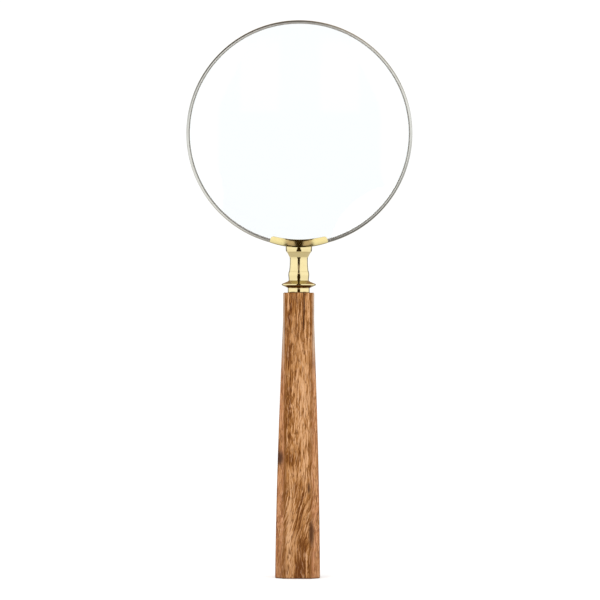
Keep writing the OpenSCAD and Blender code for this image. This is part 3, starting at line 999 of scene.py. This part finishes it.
def front_gap(g, turn, lean):
    """Where the gap in front is, and its colour: darker than any wall, but for a pale panel at each
    side of its middle."""
    below = g.between(lean, -1.5, -10.0, 7.0, 10.5)
    above = g.between(lean, 16.0, 22.0, 4.6, 5.9)
    limit = g.between(lean, 3.0, 10.0, below, above)
    height = g.math("MULTIPLY", g.between(lean, -25.0, -21.0), g.between(lean, 68.0, 60.0))
    gap = g.math("MULTIPLY", g.between(turn, g.math("ADD", limit, 0.7), limit), height)
    panel = g.math("MULTIPLY", g.between(turn, 1.6, 2.1), g.between(turn, 5.6, 5.1))
    panel = g.math("MULTIPLY", panel, g.between(lean, 3.0, 3.6))
    panel = g.math("MULTIPLY", panel, g.between(lean, 11.0, 9.0))
    return gap, g.mix(panel, (0.028, 0.014, 0.001, 1), (0.60, 0.50, 0.44, 1))


def darker(g, lean, *steps):
    """How much darker than the walls it gets, stepping down between pairs of leans."""
    total = 0.0
    for start, end, amount in steps:
        total = g.math("ADD", total, g.between(lean, start, end, 0.0, amount))
    return total


def tent_colour(g, lean, tilt):
    """White walls, a dim roof and a dim ground, both warmer, and a dimmer stretch behind the object."""
    roof = darker(g, lean, (14.0, 21.0, 0.62), (34.0, 46.0, 0.16))
    ground = darker(g, lean, (2.0, -8.0, 0.10), (-21.0, -25.0, 0.34), (-34.0, -46.0, 0.20),
                    (-52.0, -62.0, 0.12))
    shade = g.math("ADD", roof, ground)
    behind = g.between(g.math("ABSOLUTE", lean), 24.0, 14.0, 0.0, 0.78)
    behind = g.math("MULTIPLY", g.between(tilt, 62.0, 69.0), behind)
    light = g.math("SUBTRACT", 1.08, g.math("ADD", shade, behind))
    warm = g.mix(g.between(lean, 40.0, 48.0), (1.0, 0.90, 0.72, 1), (1.0, 0.56, 0.16, 1))
    colour = g.mix(shade, (1.0, 1.0, 1.0, 1), warm)
    return g.vector("MULTIPLY", colour, g.join(light, light, light))


def studio_world():
    """A white tent for the metal to mirror, with a narrow gap in front. All else sees plain white."""
    world = bpy.data.worlds.new("studio")
    world.use_nodes = True
    g = Graph(world.node_tree)
    turn, lean, tilt = mirror_angles(g)
    gap, gap_colour = front_gap(g, turn, lean)
    reflected = g.mix(gap, tent_colour(g, lean, tilt), gap_colour)
    path = g.node("ShaderNodeLightPath").outputs
    mirrored = g.math("MULTIPLY", path["Is Glossy Ray"], g.math("SUBTRACT", 1.0, path["Is Transmission Ray"]))
    background = g.node("ShaderNodeBackground")
    g.feed(background.inputs["Color"], g.mix(mirrored, grey(1.06), reflected))
    output = g.node("ShaderNodeOutputWorld")
    world.node_tree.links.new(background.outputs[0], output.inputs["Surface"])
    bpy.context.scene.world = world


def floor():
    """A wide pale floor with a faint unevenness, which the polished metal doesn't mirror."""
    segments, rings = 96, 14
    verts = [Vector((0, 0, 0))]
    for j in range(1, rings + 1):
        verts += circle(FLOOR_RADIUS * (j / rings) ** 2, 0, segments)
    faces = []
    for i in range(segments):
        k = (i + 1) % segments
        faces.append((0, 1 + i, 1 + k))
        for j in range(rings - 1):
            a, b = 1 + j * segments, 1 + (j + 1) * segments
            faces.append((a + i, b + i, b + k, a + k))
    piece = new_object("pale_floor", verts, faces)
    material, g = new_material("pale_floor")
    mottle = g.noise(object_place(g, 40.0), 1.0)
    g.finish("ShaderNodeBsdfPrincipled", Base_Color=g.mix(mottle, grey(0.62), grey(0.66)), Roughness=0.9,
             Specular_IOR_Level=0.1, Emission_Color=grey(1.0), Emission_Strength=0.40)
    piece.data.materials.append(material)
    piece.visible_glossy = False


def softbox(name, place, power):
    """A soft round light aimed at the object, which the polished metal doesn't mirror."""
    data = bpy.data.lights.new(name, "AREA")
    data.shape = "DISK"
    data.size = LIGHT_SIZE
    data.energy = power
    piece = bpy.data.objects.new(name, data)
    bpy.context.scene.collection.objects.link(piece)
    piece.location = place
    piece.rotation_euler = (Vector(LIGHT_TARGET) - Vector(place)).to_track_quat("-Z", "Y").to_euler()
    piece.visible_glossy = False
    piece.visible_camera = False


# ---------------------------------------------------------------- assembly

bpy.context.scene.view_settings.view_transform = "Standard"
camera()
studio_world()
floor()
softbox("key", (-0.7, -1.1, 1.1), power=6)
softbox("fill", (0.9, -0.9, 0.6), power=3)

rim_brass = brass("rim_brass", (0.77, 0.775, 0.73), roughness=0.32, lines="ring",
                  line_depth=0.004 * MM, tarnish=0.10)
saddle_brass = brass("saddle_brass", (0.90, 0.76, 0.36), roughness=0.07, lines="saddle",
                     line_depth=0.003 * MM, tarnish=0.08)
turned_brass = brass("turned_brass", (0.90, 0.765, 0.41), roughness=0.06, lines="turned",
                     line_depth=0.003 * MM, tarnish=0.08)
screw_brass = brass("screw_brass", (0.80, 0.62, 0.32), roughness=0.22, lines="turned",
                    line_depth=0.006 * MM, tarnish=0.30)
tail_brass = brass("tail_brass", (0.78, 0.62, 0.34), roughness=0.30, lines="polished",
                   line_depth=0.008 * MM, tarnish=0.35)

keep(lens(), "head", "lens_glass", glass(), "lens")
keep(rim(), "head", "rim_brass", rim_brass, "rim")
keep(saddle(), "head", "saddle_brass", saddle_brass, "saddle")
keep(neck(), "head", "turned_brass", turned_brass, "neck")
keep(stud(), "head", "screw_brass", screw_brass, "neck_stud")
keep(flange(), "collar", "turned_brass", turned_brass, "flange")
keep(ferrule(), "handle", "turned_brass", turned_brass, "ferrule")
keep(insert(), "handle", "screw_brass", screw_brass, "threaded_insert")
keep(handle(), "handle", "handle_wood", wood(), "handle")

carried_over = {"lens_packing": paper(), "rim_tail_left": tail_brass, "rim_tail_right": tail_brass}
for name, material in carried_over.items():
    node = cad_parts[name]
    node.data.materials.clear()
    node.data.materials.append(material)
